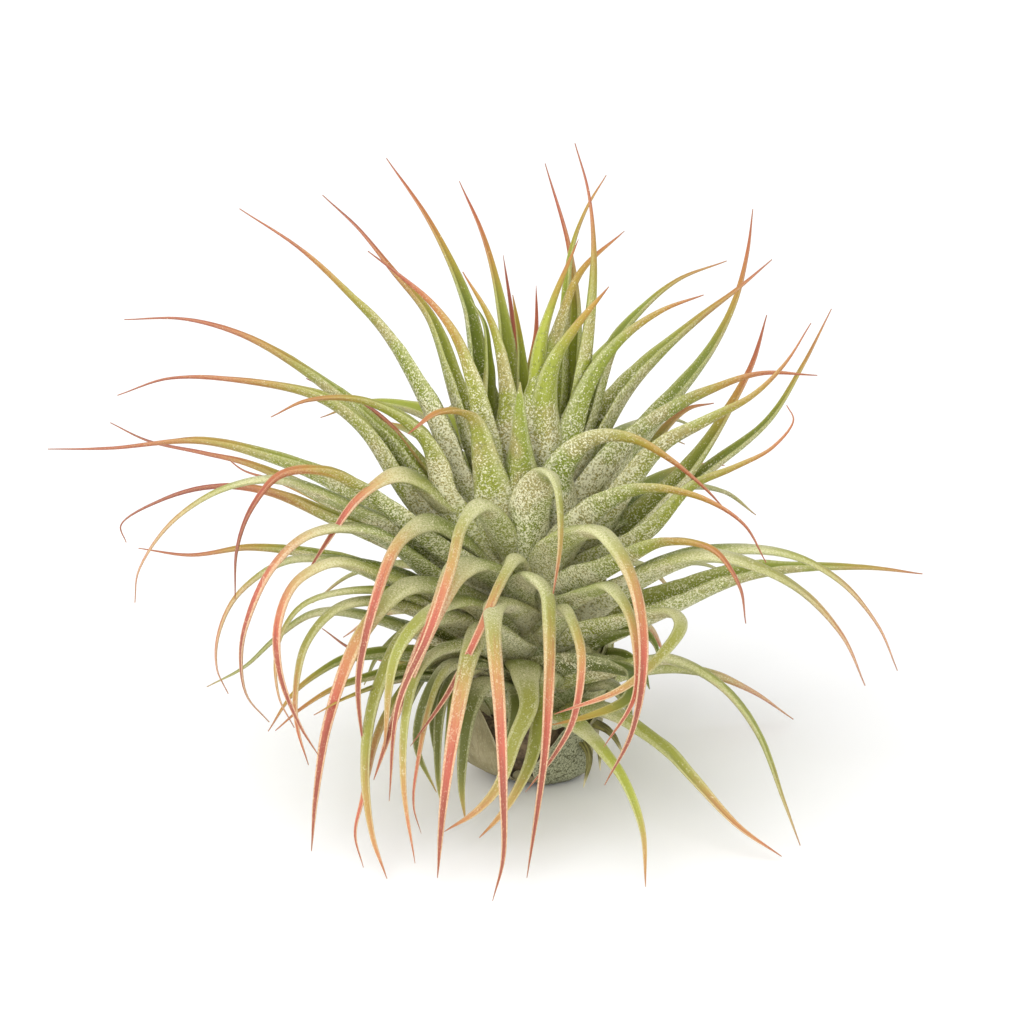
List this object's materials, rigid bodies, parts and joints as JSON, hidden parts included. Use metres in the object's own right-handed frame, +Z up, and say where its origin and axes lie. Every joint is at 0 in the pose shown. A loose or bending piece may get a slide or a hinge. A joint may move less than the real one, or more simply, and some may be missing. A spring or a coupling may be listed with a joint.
{
  "type": "air plant",
  "caption": "Free-standing rosette air plant: tapering channelled leaves arch out of a small bulb of old sheaths, grey-green blushing to coral at the tips.",
  "frame": {"origin": "centre of the flat under the foot, on the ground", "axes": "+Z up along the stem, -Y towards the viewer of the picture, +X to the viewer's right and along the widest spread of leaves"},
  "size_m": [0.12, 0.0915, 0.091],
  "materials": {
    "leaf": "grey-green under silvery scales, lime to coral towards the tips",
    "dry_sheath": "papery, tan to grey-brown with pale scales"
  },
  "bodies": {
    "root": {"leaf_rosette": "leaf", "basal_sheaths": "dry_sheath"}
  },
  "joints": []
}
